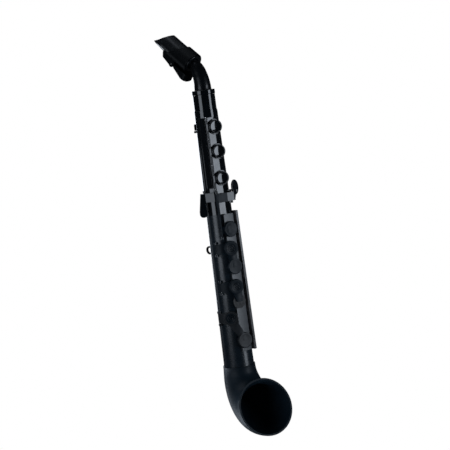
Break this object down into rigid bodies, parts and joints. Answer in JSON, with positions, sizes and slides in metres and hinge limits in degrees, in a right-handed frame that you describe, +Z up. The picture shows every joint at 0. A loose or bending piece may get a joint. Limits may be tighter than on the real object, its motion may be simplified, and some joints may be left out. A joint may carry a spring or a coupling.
{
  "type": "saxophone",
  "caption": "Compact all-black plastic saxophone: beaked mouthpiece, curved neck, conical body with round finger keys on both hands, and a turned-up flared bell.",
  "frame": {"origin": "on the body's axis at the lower end of the tube, between the key guard's foot and the seam of the bell", "axes": "+Z up the body's axis towards the neck, -Y towards the keys and the bell's mouth, +X towards the player's left"},
  "size_m": [0.082, 0.1531, 0.5721],
  "materials": {
    "gloss_black": "gloss",
    "satin_black": "satin",
    "key_black": "satin",
    "soft_black": "soft matte",
    "pad_rubber": "matte",
    "seal_rubber": "matte",
    "reed_plastic": "translucent satin",
    "bright_steel": "polished"
  },
  "bodies": {
    "body": {"upper_body": "gloss_black", "lower_body": "satin_black", "body_seal": "seal_rubber", "neck_socket": "gloss_black", "bell_seal": "seal_rubber", "upper_key_deck": "satin_black", "lower_key_deck": "satin_black", "key_guard": "satin_black", "strap_ring": "key_black", "thumb_hook": "key_black", "thumb_hook_screws": "bright_steel", "left_hinge_rod": "bright_steel", "right_hinge_pins": "bright_steel", "gsharp_rod": "bright_steel", "gsharp_lever_pin": "bright_steel", "bflat_pin": "bright_steel", "octave_pin": "bright_steel", "key_springs": "bright_steel"},
    "neck": {"neck_tube": "gloss_black", "neck_sleeve": "pad_rubber", "neck_collar": "gloss_black", "neck_seal": "seal_rubber"},
    "mouthpiece_group": {"mouthpiece": "gloss_black", "reed": "reed_plastic", "ligature_sleeve": "gloss_black", "ligature_pin": "bright_steel"},
    "ligature_clamp": {"ligature_lever": "gloss_black"},
    "bell_turn": {"bell": "soft_black"},
    "octave": {"octave_key": "key_black", "octave_pad": "pad_rubber"},
    "bflat": {"bflat_key": "key_black", "bflat_pad": "pad_rubber"},
    "gsharp_touch": {"gsharp_lever": "key_black"},
    "gsharp_cover": {"gsharp_cup": "key_black", "gsharp_pad": "pad_rubber"},
    "left_1": {"left_key_1": "key_black", "left_pad_1": "pad_rubber", "left_cap_1": "key_black"},
    "right_1": {"right_key_1": "key_black", "right_pad_1": "pad_rubber", "right_cap_1": "key_black"},
    "left_2": {"left_key_2": "key_black", "left_pad_2": "pad_rubber", "left_cap_2": "key_black"},
    "right_2": {"right_key_2": "key_black", "right_pad_2": "pad_rubber", "right_cap_2": "key_black"},
    "left_3": {"left_key_3": "key_black", "left_pad_3": "pad_rubber", "left_cap_3": "key_black"},
    "right_3": {"right_key_3": "key_black", "right_pad_3": "pad_rubber", "right_cap_3": "key_black"}
  },
  "joints": [
    {"name": "neck_swivel", "type": "hinge", "parent": "body", "child": "neck", "pos_m": [0, 0, 0.37], "axis": [0, 0, 1], "range_deg": [-60, 60]},
    {"name": "mouthpiece_tuning", "type": "slide", "parent": "neck", "child": "mouthpiece_group", "axis": [-0.262, 0.7198, 0.6428], "range_m": [0, 0.008]},
    {"name": "ligature_release", "type": "hinge", "parent": "mouthpiece_group", "child": "ligature_clamp", "pos_m": [-0.01588, 0.04362, 0.4281], "axis": [0.9397, 0.342, 0], "range_deg": [0, 60]},
    {"name": "bell_alignment", "type": "hinge", "parent": "body", "child": "bell_turn", "pos_m": [0, 0, -0.02], "axis": [0, 0, 1], "range_deg": [-60, 60]},
    {"name": "octave_rocker", "type": "hinge", "parent": "body", "child": "octave", "pos_m": [-0.0064, 0.01758, 0.328], "axis": [-0.9397, -0.342, 0], "range_deg": [0, 5]},
    {"name": "bflat_rocker", "type": "hinge", "parent": "body", "child": "bflat", "pos_m": [-0.02107, -0.00372, 0.2349], "axis": [0, 0, -1], "range_deg": [0, 8]},
    {"name": "gsharp_press", "type": "hinge", "parent": "body", "child": "gsharp_touch", "pos_m": [0.01363, -0.01624, 0.2327], "axis": [0, 0, 1], "range_deg": [0, 6]},
    {"name": "gsharp_opening", "type": "hinge", "parent": "body", "child": "gsharp_cover", "pos_m": [-0.01083, -0.01995, 0.187], "axis": [0, 0, -1], "range_deg": [0, 5.2]},
    {"name": "left_press_1", "type": "hinge", "parent": "body", "child": "left_1", "pos_m": [-0.01087, -0.01773, 0.333], "axis": [0, 0, 1], "range_deg": [0, 8]},
    {"name": "left_press_2", "type": "hinge", "parent": "body", "child": "left_2", "pos_m": [-0.01087, -0.01773, 0.2982], "axis": [0, 0, 1], "range_deg": [0, 8]},
    {"name": "left_press_3", "type": "hinge", "parent": "body", "child": "left_3", "pos_m": [-0.01087, -0.01773, 0.2604], "axis": [0, 0, 1], "range_deg": [0, 8]},
    {"name": "right_press_1", "type": "hinge", "parent": "body", "child": "right_1", "pos_m": [-0.01917, -0.01245, 0.1603], "axis": [0, 0, 1], "range_deg": [0, 4.2]},
    {"name": "right_press_2", "type": "hinge", "parent": "body", "child": "right_2", "pos_m": [-0.01984, -0.01289, 0.1054], "axis": [0, 0, 1], "range_deg": [0, 4.2]},
    {"name": "right_press_3", "type": "hinge", "parent": "body", "child": "right_3", "pos_m": [-0.02386, -0.00464, 0.0614], "axis": [0, 0, 1], "range_deg": [0, 3.2]}
  ],
  "couplings": [
    {"joint": "gsharp_opening", "follows": "gsharp_press", "ratio": 0.85}
  ]
}
